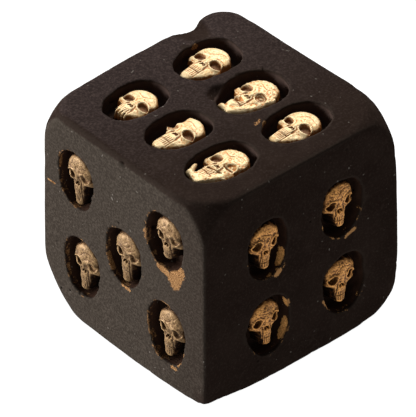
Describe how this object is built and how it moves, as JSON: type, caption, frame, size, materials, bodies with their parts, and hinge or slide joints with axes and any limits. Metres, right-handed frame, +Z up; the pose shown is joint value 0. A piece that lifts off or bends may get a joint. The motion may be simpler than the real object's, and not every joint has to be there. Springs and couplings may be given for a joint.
{
  "type": "skull pip die",
  "caption": "Six-sided gaming die with rounded corners and gold skull pips sunk in egg-shaped pockets.",
  "frame": {"origin": "on the resting plane, under the centre of the die's bounding box", "axes": "+Z up out of the face that shows six; -Y out of the face that shows five; +X out of the face that shows four. The cast faces lean up to two degrees from these axes, apart from the flat base on -Z."},
  "size_m": [0.0212, 0.0208, 0.0202],
  "materials": {
    "die_resin": "matt charcoal cast resin with fine grain and a brown cast, worn slightly lighter on edges",
    "skull_gold": "hand-brushed pale gold paint with a brown wash in the hollows"
  },
  "bodies": {
    "root": {"die_body": "die_resin", "skull_five_lower_left": "skull_gold", "skull_five_lower_right": "skull_gold", "skull_five_middle": "skull_gold", "skull_five_upper_left": "skull_gold", "skull_five_upper_right": "skull_gold", "skull_four_lower_left": "skull_gold", "skull_four_lower_right": "skull_gold", "skull_four_upper_left": "skull_gold", "skull_four_upper_right": "skull_gold", "skull_one": "skull_gold", "skull_six_back_left": "skull_gold", "skull_six_back_middle": "skull_gold", "skull_six_back_right": "skull_gold", "skull_six_front_left": "skull_gold", "skull_six_front_middle": "skull_gold", "skull_six_front_right": "skull_gold", "skull_three_lower": "skull_gold", "skull_three_middle": "skull_gold", "skull_three_upper": "skull_gold", "skull_two_lower": "skull_gold", "skull_two_upper": "skull_gold"}
  },
  "joints": []
}
